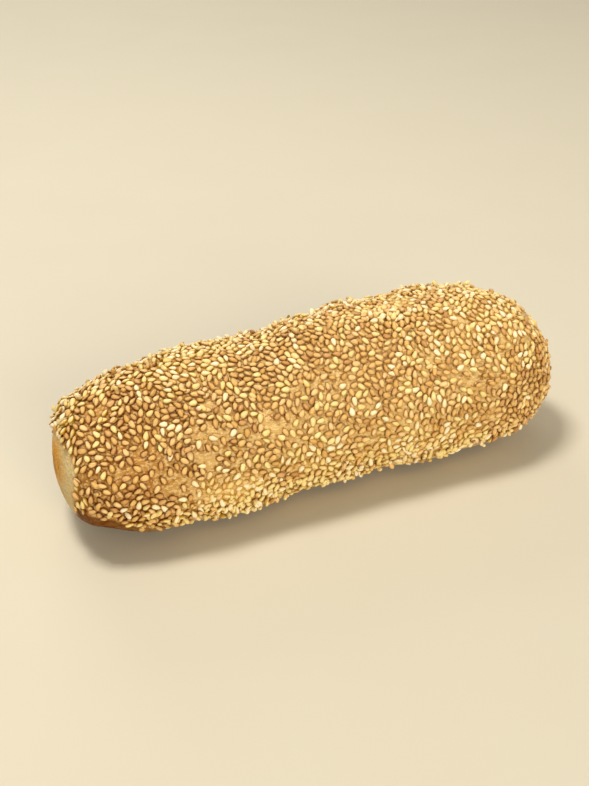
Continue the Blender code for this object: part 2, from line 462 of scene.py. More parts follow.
@dataclass(frozen=True)
class LoafForm:
    """Form of the bare loaf, in metres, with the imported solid's own sizes and formulas."""

    length: float = 0.1836
    half_height: float = 0.02815
    width_to_height: float = 1.188
    taper_depth: float = 0.0119
    taper_reach: float = 0.020
    taper_power: float = 1.15
    waist_depth: float = 0.0017
    waist_place: float = 0.36
    waist_spread: float = 0.14
    bow: float = 0.0026
    sway: float = 0.00145
    waist_level: float = 0.412
    upper_power: float = 1.87
    lower_power: float = 2.33
    base_cut: float = 0.0010
    blunt_end: float = 0.0081
    round_end: float = 0.0413
    end_power: float = 2.04
    blunt_end_lift: float = 0.0086
    blunt_lift_share: float = 0.2
    round_end_lift: float = 0.0021
    blunt_end_skew: float = 0.066
    blunt_skew_share: float = 0.25
    blunt_skew_power: float = 1.5
    level_base_span: float = 38.0
    slope_step: float = 0.004
    tip_clearance: float = 0.001
    measured_rings: int = 401
    measured_sides: int = 721
    # A wave: its height, its turns along the roll, its turns round it and its phase.
    waves: Table = (
        (0.00028, 3.0, 2.0, 0.7),
        (0.00022, 5.5, -3.0, 2.1),
        (0.00016, 8.0, 4.0, 4.0),
    )
    # A lump: its share of the length, its angle in degrees, its height and its spread.
    lumps: Table = (
        (0.19, 60.0, -0.0006, 0.0040),
        (0.34, 64.0, 0.0004, 0.0060),
        (0.43, 60.0, -0.0011, 0.0040),
        (0.47, 60.0, 0.0008, 0.0040),
        (0.52, 60.0, -0.0008, 0.0040),
        (0.59, 64.0, 0.0011, 0.0060),
        (0.67, 64.0, -0.0012, 0.0070),
        (0.765, 66.0, 0.0009, 0.0050),
        (0.885, 79.0, -0.0007, 0.0045),
        (0.935, 86.0, 0.0005, 0.0045),
        (0.04, 228.0, -0.0006, 0.0040),
        (0.125, 225.0, 0.0005, 0.0050),
        (0.19, 225.0, -0.0006, 0.0040),
        (0.28, 221.0, 0.0007, 0.0070),
        (0.41, 221.0, -0.0006, 0.0040),
        (0.585, 221.0, -0.0008, 0.0080),
        (0.685, 225.0, 0.0007, 0.0060),
        (0.81, 220.0, 0.0005, 0.0060),
    )
    # Hollows, in the same way, that leave room for the thick coat along the crest.
    hollows: Table = (
        (0.030, 60.0, -0.0007, 0.0040),
        (0.082, 62.0, -0.0005, 0.0040),
        (0.225, 66.0, -0.0004, 0.0050),
        (0.455, 65.0, -0.0008, 0.0050),
        (0.485, 66.0, -0.0006, 0.0045),
        (0.560, 64.0, -0.0013, 0.0060),
        (0.595, 69.0, -0.0015, 0.0050),
        (0.620, 73.0, -0.0010, 0.0045),
        (0.760, 64.0, -0.0006, 0.0050),
        (0.800, 77.0, -0.0013, 0.0060),
        (0.865, 80.0, -0.0004, 0.0060),
        (0.930, 88.0, -0.0008, 0.0080),
    )

    def tall(self, share: np.ndarray) -> np.ndarray:
        """Give half the loaf's height.

        Args:
            share: Shares of the length.

        Returns:
            The half height at each.
        """
        taper = np.exp(-((share * self.length / self.taper_reach) ** self.taper_power))
        waist = np.exp(-(((share - self.waist_place) / self.waist_spread) ** 2))
        return self.half_height - self.taper_depth * taper - self.waist_depth * waist

    def girth(self, share: np.ndarray) -> np.ndarray:
        """Give the section's size, which falls from 1 to 0 at both ends.

        Args:
            share: Shares of the length.

        Returns:
            The size at each.
        """
        to_blunt = 1.0 - share * self.length / self.blunt_end
        to_round = 1.0 - (1.0 - share) * self.length / self.round_end
        inside = np.maximum(np.maximum(to_blunt, to_round), 0.0)
        return np.maximum(1.0 - inside**self.end_power, 0.0) ** (1.0 / self.end_power)

    def lift(self, share: np.ndarray) -> np.ndarray:
        """Give how far the section's middle rises above its place on a flat base.

        Args:
            share: Shares of the length.

        Returns:
            The rise at each.
        """
        blunt = np.maximum(1.0 - share / self.blunt_lift_share, 0.0)
        rounded = np.maximum(1.0 - (1.0 - share) * self.length / self.round_end, 0.0)
        return self.blunt_end_lift * blunt**2 + self.round_end_lift * rounded**2

    def spine(self, share: np.ndarray) -> np.ndarray:
        """Give the sideways place of the section's middle."""
        return self.bow * np.sin(math.pi * share) - self.sway * np.sin(math.tau * share)

    def off_base(self, angle: np.ndarray) -> np.ndarray:
        """Rise from 0 at the middle of the base to 1 on the sides."""
        turn = np.abs(turn_between(angle, 270.0)) / math.radians(self.level_base_span)
        return np.minimum(turn, 1.0) ** 3

    def unevenness(self, share: np.ndarray, angle: np.ndarray) -> np.ndarray:
        """Give the height of the waves, lumps and hollows.

        Args:
            share: Shares of the length.
            angle: Angles round the section, in radians.

        Returns:
            The height at each place.
        """
        height = sum(
            size * np.sin(math.tau * along * share + turns * angle + phase)
            for size, along, turns, phase in self.waves
        )
        for place, degrees, size, spread in self.lumps + self.hollows:
            along = (share - place) * self.length
            around = turn_between(angle, degrees) * self.half_height
            height = height + size * np.exp(-(along**2 + around**2) / (2.0 * spread**2))
        return height * self.off_base(angle)

    def points(self, share: np.ndarray, angle: np.ndarray) -> np.ndarray:
        """Give the crust's points in the loaf's own frame, which starts at the blunt end.

        Args:
            share: Shares of the length.
            angle: Angles round the section, in radians.

        Returns:
            One point for each pair, along a last axis of three.
        """
        across = np.cos(angle)
        upward = np.sin(angle)
        power = np.where(upward >= 0.0, self.upper_power, self.lower_power)
        radius = (np.abs(across) ** power + np.abs(upward) ** power) ** (-1.0 / power)
        girth = self.girth(share)
        tall = self.tall(share)
        relief = self.unevenness(share, angle) * girth
        below = 2.0 * tall * self.waist_level
        reach = np.where(upward >= 0.0, 2.0 * tall - below, below)
        side = (self.width_to_height * tall * girth * radius + relief) * across
        rise = (reach * girth * radius + relief) * upward
        height = np.maximum(below + self.lift(share) + rise - self.base_cut, 0.0)
        lean = np.maximum(1.0 - share / self.blunt_skew_share, 0.0) ** self.blunt_skew_power
        along = share * self.length + self.blunt_end_skew * lean * side
        return np.stack([along, self.spine(share) + side, height], axis=-1)

    def normals(self, share: np.ndarray, angle: np.ndarray) -> np.ndarray:
        """Give the crust's outward directions.

        Args:
            share: Shares of the length.
            angle: Angles round the section, in radians.

        Returns:
            The direction at each place.
        """
        step = self.slope_step
        low = np.maximum(share - step, 0.5 * self.tip_clearance)
        high = np.minimum(share + step, 1.0 - 0.5 * self.tip_clearance)
        along = self.points(high, angle) - self.points(low, angle)
        around = self.points(share, angle + step) - self.points(share, angle - step)
        return unit(np.cross(around, along))

    def origin(self, start: float) -> np.ndarray:
        """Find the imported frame's origin in the loaf's own frame.

        Args:
            start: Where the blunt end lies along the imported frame's X.

        Returns:
            The origin: on the base, half way across the loaf.
        """
        share = np.linspace(0.0, 1.0, self.measured_rings)
        angle = np.linspace(0.0, math.tau, self.measured_sides)
        sides = self.points(share[:, None], angle[None])[..., 1]
        return np.array([-start, 0.5 * (sides.min() + sides.max()), 0.0])


@dataclass(frozen=True)
class Baking:
    """How the oven has coloured the crust and where the dough carries seeds."""

    bare_blunt_end: float = 0.0031
    # Waves of the bare end's edge: their height, how many there are and their phase.
    bare_edge_waves: tuple = (0.0003, 5.0, 1.0)
    # Where the bare end reaches further in: an angle in degrees, its spread and how far.
    bare_edge_shifts: Table = (
        (141.0, 15.0, 0.0010),
        (82.0, 16.0, -0.0010),
        (300.0, 30.0, 0.0008),
    )
    bare_base_height: float = 0.0042
    # Steps down of the bare underside's edge: a share, its spread and a height.
    bare_steps: Table = (
        (0.092, 0.016, 0.0080),
        (0.205, 0.008, 0.0045),
    )
    steepest_underside: float = -0.62
    scorch_place: tuple = (0.038, 67.0)
    scorch_size: float = 0.0011
    bare_scorch_sizes: float = 2.2
    # A patch: its share, its angle in degrees, its spreads in both, and its strength.
    crowded: Table = (
        (0.17, 155.0, 0.12, 30.0, -0.30),
        (0.55, 155.0, 0.20, 10.0, -0.16),
        (0.55, 210.0, 0.32, 11.0, 0.60),
        (0.03, 70.0, 0.03, 30.0, 0.50),
        (0.55, 74.0, 0.40, 14.0, 0.08),
        (0.82, 130.0, 0.17, 55.0, -0.22),
        (0.16, 62.0, 0.12, 16.0, -0.25),
        (0.50, -34.0, 0.45, 12.0, 0.50),
        (0.09, 203.0, 0.07, 10.0, 0.60),
    )
    # A stretched strip without seeds: its share, its angle in degrees, its spreads in both, and
    # how many degrees it turns for each share of the length.
    creases: Table = (
        (0.240, 145.0, 0.024, 1.7, 36.0),
        (0.226, 160.0, 0.018, 1.6, 224.0),
        (0.082, 155.0, 0.014, 1.9, 125.0),
        (0.319, 155.0, 0.012, 1.4, 118.0),
        (0.378, 153.0, 0.022, 1.8, 108.0),
        (0.437, 133.5, 0.030, 1.6, 10.0),
        (0.252, 126.0, 0.006, 1.6, 0.0),
        (0.300, 32.0, 0.024, 1.7, -60.0),
        (0.560, 18.0, 0.020, 1.6, 80.0),
        (0.740, 38.0, 0.020, 1.6, -90.0),
        (0.420, -8.0, 0.022, 1.6, 60.0),
        (0.180, 6.0, 0.016, 1.7, 110.0),
    )
    crease_edge: float = 0.4
    # Where the second layer of seeds lies thickest, as patches.
    piled: Table = (
        (0.011, 92.0, 0.008, 7.0, 20.0),
        (0.025, 55.0, 0.015, 12.0, 1.2),
        (0.602, 67.0, 0.010, 4.0, 6.0),
        (0.644, 102.0, 0.012, 4.0, 16.0),
        (0.761, 68.0, 0.013, 4.0, 5.0),
        (0.30, 203.0, 0.08, 7.0, 3.0),
        (0.52, 212.0, 0.26, 8.0, 3.0),
        (0.60, 72.0, 0.20, 10.0, 0.3),
        (0.50, -34.0, 0.40, 9.0, 2.2),
    )
    # Where the seeds lie rougher than elsewhere, tipped or on their ends.
    ruffled: Table = (
        (0.22, 68.0, 0.17, 13.0, 0.55),
        (0.50, 72.0, 0.14, 10.0, 0.30),
        (0.86, 88.0, 0.10, 25.0, 0.25),
    )
    pale: Table = (
        (0.30, 208.0, 0.09, 16.0, 1.35),
        (0.60, 211.0, 0.24, 18.0, 1.60),
        (0.60, 70.0, 0.24, 13.0, 0.45),
        (0.24, 72.0, 0.15, 19.0, 0.95),
        (0.25, 100.0, 0.06, 14.0, 0.40),
        (0.50, -34.0, 0.40, 16.0, 0.95),
        (0.36, 176.0, 0.12, 14.0, 0.40),
        (0.80, 150.0, 0.22, 60.0, 0.32),
        (0.012, 68.0, 0.026, 36.0, 1.4),
        (0.012, 180.0, 0.010, 28.0, 1.3),
        (0.644, 102.0, 0.020, 6.0, 1.6),
        (0.530, 63.0, 0.060, 9.0, 1.2),
        (0.605, 68.0, 0.018, 6.0, 1.0),
        (0.790, 74.0, 0.060, 7.0, 0.5),
        (0.050, 58.0, 0.050, 10.0, 0.7),
        (0.690, 203.0, 0.080, 14.0, 1.2),
        (0.800, 188.0, 0.060, 18.0, -1.0),
        (0.900, 200.0, 0.060, 25.0, -0.6),
        (0.430, 192.0, 0.050, 9.0, -0.6),
        (0.880, 98.0, 0.075, 26.0, 1.00),
        (0.740, 92.0, 0.060, 12.0, -0.10),
    )
    most_pale: float = 1.3
    stretched_pale: float = 0.35
    browned: Table = (
        (0.05, 162.0, 0.08, 55.0, 0.80),
        (0.98, 185.0, 0.08, 80.0, 0.50),
        (0.10, 212.0, 0.07, 16.0, 0.50),
    )
    # Where only the crust is darker, under seeds like those around it: browning, and on the crest by the
    # blunt end painted shade between the seeds.
    browned_and_shaded_crust: Table = (
        (0.13, 66.0, 0.11, 22.0, 0.85),
        (0.08, 140.0, 0.12, 50.0, 0.55),
        (0.20, -10.0, 0.16, 30.0, 0.40),
        (0.055, 200.0, 0.060, 26.0, 0.60),
    )
    # Single white seeds: their shares and angles in degrees.
    white_seeds: Table = (
        (0.241, 149.0),
        (0.217, 182.0),
        (0.096, 182.0),
        (0.084, 85.0),
        (0.197, 172.0),
        (0.286, 184.0),
        (0.329, 185.0),
        (0.126, 93.0),
        (0.027, 141.0),
        (0.693, 164.0),
        (0.766, 188.0),
        (0.604, 78.0),
    )

    @staticmethod
    def spread(patches: Table, share: np.ndarray, angle: np.ndarray) -> np.ndarray:
        """Add up soft patches.

        Args:
            patches: Each patch's share, angle in degrees, both spreads and strength.
            share: Shares of the length.
            angle: Angles round the section, in radians.

        Returns:
            The patches' sum at each place.
        """
        total = np.zeros(np.broadcast(share, angle).shape)
        for place, degrees, long_spread, round_spread, strength in patches:
            around = turn_between(angle, degrees) / math.radians(round_spread)
            total += strength * falloff((share - place) / long_spread, around)
        return total

    def stretched(self, share: np.ndarray, angle: np.ndarray) -> np.ndarray:
        """Give how far the dough is stretched.

        Args:
            share: Shares of the length.
            angle: Angles round the section, in radians.

        Returns:
            The stretch at each place, from 0 to 1 along the middle of a bare strip.
        """
        most = np.zeros(np.broadcast(share, angle).shape)
        for place, degrees, long_spread, round_spread, slope in self.creases:
            along = share - place
            around = turn_between(angle, degrees) - math.radians(slope) * along
            most = np.maximum(most, falloff(along / long_spread, around / math.radians(round_spread)))
        return most

    def sole(self, share: np.ndarray) -> np.ndarray:
        """Give the height up to which the bread's underside is bare."""
        steps = [rise / (1.0 + np.exp((share - place) / spread)) for place, spread, rise in self.bare_steps]
        return self.bare_base_height + sum(steps)

    def rim(self, angle: np.ndarray) -> np.ndarray:
        """Give the length of the bare blunt end.

        Args:
            angle: Angles round it, in radians.

        Returns:
            The length at each.
        """
        size, turns, phase = self.bare_edge_waves
        rim = self.bare_blunt_end + size * np.sin(turns * angle + phase)
        for degrees, spread, shift in self.bare_edge_shifts:
            rim = rim + shift * falloff(turn_between(angle, degrees) / math.radians(spread))
        return rim


# The crust


@dataclass(frozen=True)
class Rise:
    """How a look comes in over a mask: between which of its values, and how strongly."""

    low: float
    high: float
    share: float = 1.0

    def over(self, mask: Wire) -> Wire:
        """Give how strongly the look shows."""
        return mask.ease(self.low, self.high) * self.share


@dataclass(frozen=True)
class CrustFinish:
    """Colours and relief of the baked crust and of the bare end."""

    tan: Rgb = shade(205, 164, 99)
    pale: Rgb = shade(229, 200, 136)
    brown: Rgb = shade(178, 122, 54)
    # Browning and painted contact shade on the crust beside the seeds.
    browning_and_contact_shade: Rgb = shade(112, 56, 0)
    # Painted warm shade in the crevices beside seeds where the crust is pale.
    gold: Rgb = shade(206, 152, 36)
    crumb: Rgb = shade(216, 195, 144)
    cap: Rgb = shade(222, 160, 62)
    sole: Rgb = shade(102, 53, 0)
    scorch: Rgb = shade(52, 30, 28)
    fleck: Rgb = shade(148, 92, 32)
    speck: Rgb = shade(228, 197, 140)
    # Noise: its size, how many times longer it is along the roll, its layers and a shift.
    clouds: tuple = (0.006, 2.0, 3.0, 0.0)
    mottles: tuple = (0.0015, 1.6, 3.0, 0.1)
    grains: tuple = (0.0008, 1.4, 3.0, 0.2)
    # How far noise moves the edges between colours.
    pale_swing: float = 1.1
    brown_swing: float = 0.7
    torn_swings: tuple = (1.6, 1.2)
    sole_swing: float = 0.6
    scorch_swing: float = 1.1
    # How strongly the colours show, and how those come in that rise smoothly over a mask.
    brown_share: float = 0.8
    browning_and_shade_share: float = 0.90
    browning_and_shade_least: float = 0.38
    sole_share: float = 0.92
    flecks: Rise = Rise(0.5, 0.64, 0.68)
    specks: Rise = Rise(0.5, 0.58, 0.82)
    golden: Rise = Rise(0.1, 0.8, 0.60)
    scorched: Rise = Rise(0.32, 0.7, 0.92)
    baked_patches: Rise = Rise(0.42, 0.62, 0.75)
    crumbly: Rise = Rise(0.0, 0.4)
    brown_spots: Rise = Rise(0.5, 0.75, 0.35)
    cap_spots: Rise = Rise(0.5, 0.7, 0.35)
    # How much specks fade beside seeds and where the crust is browned.
    speck_fades: tuple = (0.70, 0.3)
    roughness: float = 0.62
    sole_roughness: float = 0.5
    roughness_swing: float = 0.2
    gloss: float = 0.08
    relief_depth: float = 0.0012
    relief_shares: tuple = (0.45, 0.55)

    def make(self) -> bpy.types.Material:
        """Make the crust's material.

        Returns:
            The material.
        """
        look = Surface("crust")
        cloudy, mottle, fine = (look.grain(*sizes) for sizes in (self.clouds, self.mottles, self.grains))
        sole = look.attribute("sole")
        colour = self.skin_colour(look, cloudy, mottle, fine)
        colour = look.mix(look.attribute("cap"), colour, self.end_colour(look, cloudy, mottle, fine))
        colour = look.mix(sole * (self.sole_share + mottle.swing(self.sole_swing)), colour, self.sole)
        scorch = look.attribute("scorch") + mottle.swing(self.scorch_swing)
        colour = look.mix(self.scorched.over(scorch), colour, self.scorch)
        smoother = sole * (self.roughness - self.sole_roughness)
        roughness = self.roughness + fine.swing(self.roughness_swing) - smoother
        height = fine * self.relief_shares[0] + mottle * self.relief_shares[1]
        gloss = {"Specular_IOR_Level": self.gloss, "Specular_Tint": GLOSS_TINT}
        return look.finish(colour, roughness, height, self.relief_depth, **gloss)

    def skin_colour(self, look: Surface, cloudy: Wire, mottle: Wire, fine: Wire) -> Wire:
        """Colour the seeded crust, with browning and painted shade beside the seeds.

        Args:
            look: The crust's material.
            cloudy: The coarsest noise.
            mottle: The middle noise.
            fine: The finest noise.

        Returns:
            The colour.
        """
        pale, brown, near = (look.attribute(name) for name in ("pale", "browned", "near"))
        colour = look.mix((pale + cloudy.swing(self.pale_swing)).clamped(), self.tan, self.pale)
        # Browning, with painted shade between the seeds on the crest by the blunt end.
        browner = (brown + cloudy.swing(self.brown_swing)).clamped()
        colour = look.mix(browner * self.brown_share, colour, self.brown)
        colour = look.mix(self.flecks.over(mottle), colour, self.fleck)
        # Browning and painted shade on the crust beside each seed, strongest at the blunt end.
        colour = look.mix(near * look.toast(self.browning_and_shade_least) * self.browning_and_shade_share, colour, self.browning_and_contact_shade)
        # Painted warm shade in the crevices beside seeds, where the crust is pale.
        colour = look.mix(near * self.golden.over(pale), colour, self.gold)
        grainy = (1.0 - near * self.speck_fades[0]) * (1.0 - brown * self.speck_fades[1])
        return look.mix(self.specks.over(fine) * grainy, colour, self.speck)

    def end_colour(self, look: Surface, cloudy: Wire, mottle: Wire, fine: Wire) -> Wire:
        """Colour the bare blunt end: mottled golden crust inside a wide, torn rim of pale crumb.

        Args:
            look: The crust's material.
            cloudy: The coarsest noise.
            mottle: The middle noise.
            fine: The finest noise.

        Returns:
            The colour.
        """
        crumb = look.attribute("crumb")
        torn = (crumb + mottle.swing(self.torn_swings[0]) + cloudy.swing(self.torn_swings[1])).clamped()
        colour = look.mix(self.baked_patches.over(cloudy) * (1.0 - crumb), self.cap, self.brown)
        colour = look.mix(torn * self.crumbly.over(crumb), colour, self.crumb)
        colour = look.mix(self.brown_spots.over(mottle), colour, self.brown)
        return look.mix(self.cap_spots.over(fine), colour, self.cap)


@dataclass
class Crust:
    """The loaf's skin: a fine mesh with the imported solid's form, wrinkled and grained."""

    form: LoafForm
    baking: Baking
    origin: np.ndarray
    finish: CrustFinish = CrustFinish()
    section_sides: int = 288
    blunt_rings: int = 24
    body_rings: int = 250
    round_rings: int = 72
    wrinkle_height: float = 0.00028
    wrinkle_width: float = 0.0026
    wrinkle_stretch: float = 4.0
    grain_height: float = 0.00018
    grain_size: float = 0.0009
    scorch_height: float = 0.0015
    level_tip: float = 0.0025
    puff: float = 0.00022
    seed_shadow: float = 0.0005
    cap_edge: float = 0.0006
    cap_relief_loss: float = 0.6
    # The crumb at the rim: where it starts from the end, how wide its edge is, and where it is
    # torn wider, as an angle and a spread in degrees and a width.
    crumb_start: float = 0.0006
    crumb_edge: float = 0.0020
    torn_angle: float = 195.0
    torn_spread: float = 28.0
    torn_width: float = 0.0014
    # The browned sole: its edge, and how much paler it gets past a share and a height.
    sole_edge: float = 0.0012
    sole_fade: float = 0.45
    sole_fade_shares: tuple = (0.06, 0.08)
    sole_fade_heights: tuple = (0.003, 0.002)
    random_seed: int = 7

    def __post_init__(self) -> None:
        """Place the skin's points, ring by ring and then both tips, and their directions."""
        angles = math.tau * np.arange(self.section_sides) / self.section_sides
        share, angle = (grid.ravel() for grid in np.meshgrid(self.ring_shares(), angles, indexing="ij"))
        self.share = np.append(share, [0.0, 1.0])
        self.angle = np.append(angle, [0.0, 0.0])
        self.points = self.form.points(self.share, self.angle) - self.origin
        self.facing = self.form.normals(self.share, self.angle)

    def ring_shares(self) -> np.ndarray:
        """List the rings' places along the roll, closer together where the ends turn in.

        Returns:
            Shares of the length.
        """
        blunt = self.form.blunt_end / self.form.length
        rounded = self.form.round_end / self.form.length
        steps = np.arange(1, self.blunt_rings + 1) / self.blunt_rings
        start = blunt * (1.0 - np.cos(0.5 * math.pi * steps))
        body = blunt + (1.0 - rounded - blunt) * np.arange(1, self.body_rings) / self.body_rings
        steps = np.arange(self.round_rings) / self.round_rings
        tip = 1.0 - rounded * (1.0 - np.sin(0.5 * math.pi * steps))
        return np.concatenate([start, body, tip])

    def faces(self) -> list[tuple[int, ...]]:
        """List the skin's faces, which point outwards.

        Returns:
            The corner numbers of each face.
        """
        sides = self.section_sides
        tips = len(self.share) - 2
        side = np.arange(sides)
        after = (side + 1) % sides
        first = np.arange(0, tips - sides, sides)[:, None]
        quads = np.stack([first + side, first + after, first + sides + after, first + sides + side], -1)
        last = tips - sides
        blunt = [(tips, int(b), int(a)) for a, b in zip(side, after)]
        rounded = [(tips + 1, int(last + a), int(last + b)) for a, b in zip(side, after)]
        return [tuple(quad) for quad in quads.reshape(-1, 4).tolist()] + blunt + rounded

    def looks(self) -> dict[str, np.ndarray]:
        """Work out what the finish and the relief read at each point.

        Returns:
            Values from 0 to 1 under their names.
        """
        baking, share, angle = self.baking, self.share, self.angle
        from_end = share * self.form.length
        height = self.points[:, 2]
        cap = ramp((baking.rim(angle) - from_end) / self.cap_edge + 0.5)
        torn = falloff(turn_between(angle, self.torn_angle) / math.radians(self.torn_spread))
        crumb = ramp((from_end - self.crumb_start + self.torn_width * torn) / self.crumb_edge) * cap
        sole = ramp((baking.sole(share) - height) / self.sole_edge + 0.5) * (1.0 - cap)
        faded = ramp(share, *self.sole_fade_shares) * ramp(height, *self.sole_fade_heights)
        stretched = baking.stretched_pale * baking.stretched(share, angle)
        return {
            "pale": ramp(baking.spread(baking.pale, share, angle) + stretched),
            # Browned also holds painted shade between the seeds on the crest by the blunt end.
            "browned": ramp(baking.spread(baking.browned + baking.browned_and_shaded_crust, share, angle)),
            "cap": cap,
            "crumb": crumb,
            "sole": sole * (1.0 - self.sole_fade * faded),
            "scorch": falloff(self.from_scorch(self.points) / baking.scorch_size),
            "relief": self.form.off_base(angle) * (1.0 - self.cap_relief_loss * cap) * self.level(),
        }

    def from_scorch(self, points: np.ndarray) -> np.ndarray:
        """Give the distance from the scorched spot.

        Args:
            points: Points on the crust.

        Returns:
            The distance of each.
        """
        share, degrees = self.baking.scorch_place
        place = self.form.points(np.array(share), np.array(math.radians(degrees))) - self.origin
        return np.linalg.norm(points - place, axis=-1)

    def level(self) -> np.ndarray:
        """Fall to 0 at the blunt end, where the relief would stand out of the solid's length."""
        return ramp(self.share * self.form.length / self.level_tip)

    def relief(self) -> ShapeTree:
        """Make the tree that wrinkles and grains the skin.

        Returns:
            The tree.
        """
        tree = ShapeTree(
            "crust_relief",
            {
                "Wrinkle Height": self.wrinkle_height,
                "Wrinkle Width": self.wrinkle_width,
                "Wrinkle Stretch": self.wrinkle_stretch,
                "Grain Height": self.grain_height,
                "Grain Size": self.grain_size,
                "Scorch Height": self.scorch_height,
                "Random Seed": self.random_seed,
                "Material": self.finish.make(),
            },
        )
        place = tree.node("GeometryNodeInputPosition")
        x, y, z = tree.split(place)
        stretched = tree.join(x / tree.given("Wrinkle Stretch"), y, z)
        wrinkle = self.layer(tree, stretched, tree.given("Wrinkle Width"))
        grain = self.layer(tree, place, tree.given("Grain Size"))
        height = wrinkle * tree.given("Wrinkle Height") + grain * tree.given("Grain Height")
        height = height * tree.named("relief") + tree.named("scorch") * tree.given("Scorch Height")
        sockets = {0: tree.node("GeometryNodeInputNormal"), "Scale": height}
        offset = tree.node("ShaderNodeVectorMath", sockets, operation="SCALE")
        sockets = {"Geometry": tree.given("Geometry"), "Offset": offset}
        tree.end(tree.node("GeometryNodeSetPosition", sockets))
        return tree

    @staticmethod
    def layer(tree: ShapeTree, place: Wire, size: Wire) -> Wire:
        """Give noise from about -1 to 1, with marks of a size, drawn from the tree's seed."""
        sockets = {"Vector": place, "W": tree.given("Random Seed") * 1.0, "Scale": 1.0 / size, "Detail": 2.0}
        return tree.node("ShaderNodeTexNoise", sockets, noise_dimensions="4D").swing(2.0)

    def build(self) -> bpy.types.Object:
        """Build and dress the crust.

        Returns:
            The crust.
        """
        mesh = bpy.data.meshes.new("crust_skin")
        mesh.from_pydata(self.points.tolist(), [], self.faces())
        for name, values in self.looks().items():
            write_values(mesh, name, values)
        mesh.shade_smooth()
        crust = self.relief().run("crust", mesh)
        write_places(crust.data, read_places(crust.data))
        return crust

    def gather(self, crust: bpy.types.Object, spots: np.ndarray, radii: np.ndarray) -> None:
        """Puff the dough up between the seeds and note how near each point is to one.

        Args:
            crust: The built crust.
            spots: The middles of the discs that the seeds lie on.
            radii: The discs' radii.
        """
        places = read_places(crust.data)
        tree = search_tree(spots)
        found = [tree.find(place) for place in places.tolist()]
        gap = np.array([hit[2] for hit in found]) - radii[[hit[1] for hit in found]]
        near = ramp(1.0 - gap / self.seed_shadow)
        lift = self.puff * (0.5 - near) * (self.form.off_base(self.angle) * self.level())
        write_places(crust.data, places + self.facing * lift[:, None])
        write_values(crust.data, "near", near)


# The seeds


class SeedKind(Enum):
    """The kinds of seed that lie on the roll, from browned to white."""

    TOASTED = "toasted_seeds"
    HONEY = "honey_seeds"
    GOLDEN = "golden_seeds"
    CREAM = "cream_seeds"
    WHITE = "white_seeds"

    @property
    def number(self) -> int:
        """Give the kind's place in their order."""
        return list(SeedKind).index(self)


@dataclass(frozen=True)
class SeedFinish:
    """Look of one kind of seed: two colours between which the seeds vary, and their rims'. A painted
    highlight lightens each seed's upper side, and browning and painted shade darken its lower sides.
    """

    deep: Rgb
    light: Rgb
    rim: Rgb
    # Noise: its size, how many times longer it is along the roll, its layers and a shift.
    blotches: tuple = (0.0011, 1.0, 2.0, 0.3)
    # Streaks for each half length along a seed and across it, how far apart they lie for two
    # seeds of unlike tint, and their layers.
    streaks: tuple = (1.3, 3.6, 90.0, 2.0)
    # What a seed's own tint, blotches and upper side add to the lighter colour; the upper side's part is a
    # painted highlight.
    tint_share: float = 0.65
    blotch_swing: float = 0.5
    top: Rise = Rise(0.5, 1.0, 0.45)
    # How the rims' colour comes in at the point, in streaks and low on the sides, where it is browning and
    # painted shade.
    point: Rise = Rise(0.5, 0.95, 0.75)
    streaky: Rise = Rise(0.5, 0.75, 0.30)
    above_side: Rise = Rise(-0.15, 0.72)
    side_least: float = 0.42
    turned_loss: float = 0.75
    roughness: float = 0.40
    roughness_swing: float = 0.24
    gloss: float = 0.34
    relief_depth: float = 0.00022

    def make(self, name: str) -> bpy.types.Material:
        """Make the kind's material.

        Args:
            name: The material's name.

        Returns:
            The material.
        """
        look = Surface(name)
        parts = ("tint", "along", "across", "belly", "turned")
        tint, along, across, belly, turned = (look.attribute(part) for part in parts)
        to_length, to_width, apart, layers = self.streaks
        streak = look.noise(look.join(along * to_length, across * to_width, belly + tint * apart), layers)
        blotch = look.grain(*self.blotches).swing(self.blotch_swing)
        # The upper side's share of the lightness is a painted highlight.
        bright = tint * self.tint_share + blotch + self.top.over(belly)
        # Browning and painted shade low on each seed's sides, strongest at the blunt end and less on seeds
        # that are turned.
        side = (1.0 - self.above_side.over(belly)) * look.toast(self.side_least)
        colour = look.mix(bright.clamped(), self.deep, self.light)
        colour = look.mix(self.point.over(along), colour, self.rim)
        colour = look.mix(side * (1.0 - turned * self.turned_loss), colour, self.rim)
        colour = look.mix(self.streaky.over(streak), colour, self.rim)
        roughness = self.roughness + streak.swing(self.roughness_swing)
        gloss = {"Specular_IOR_Level": self.gloss, "Specular_Tint": GLOSS_TINT}
        return look.finish(colour, roughness, streak, self.relief_depth, **gloss)


SEED_FINISHES = {
    SeedKind.TOASTED: SeedFinish(shade(186, 131, 70), shade(220, 174, 114), shade(110, 56, 2)),
    SeedKind.HONEY: SeedFinish(shade(203, 151, 77), shade(232, 191, 124), shade(108, 52, 0)),
    SeedKind.GOLDEN: SeedFinish(shade(221, 172, 96), shade(241, 205, 146), shade(122, 64, 0)),
    SeedKind.CREAM: SeedFinish(shade(235, 203, 127), shade(245, 225, 162), shade(176, 126, 16)),
    SeedKind.WHITE: SeedFinish(shade(244, 220, 168), shade(250, 236, 202), shade(204, 160, 56)),
}


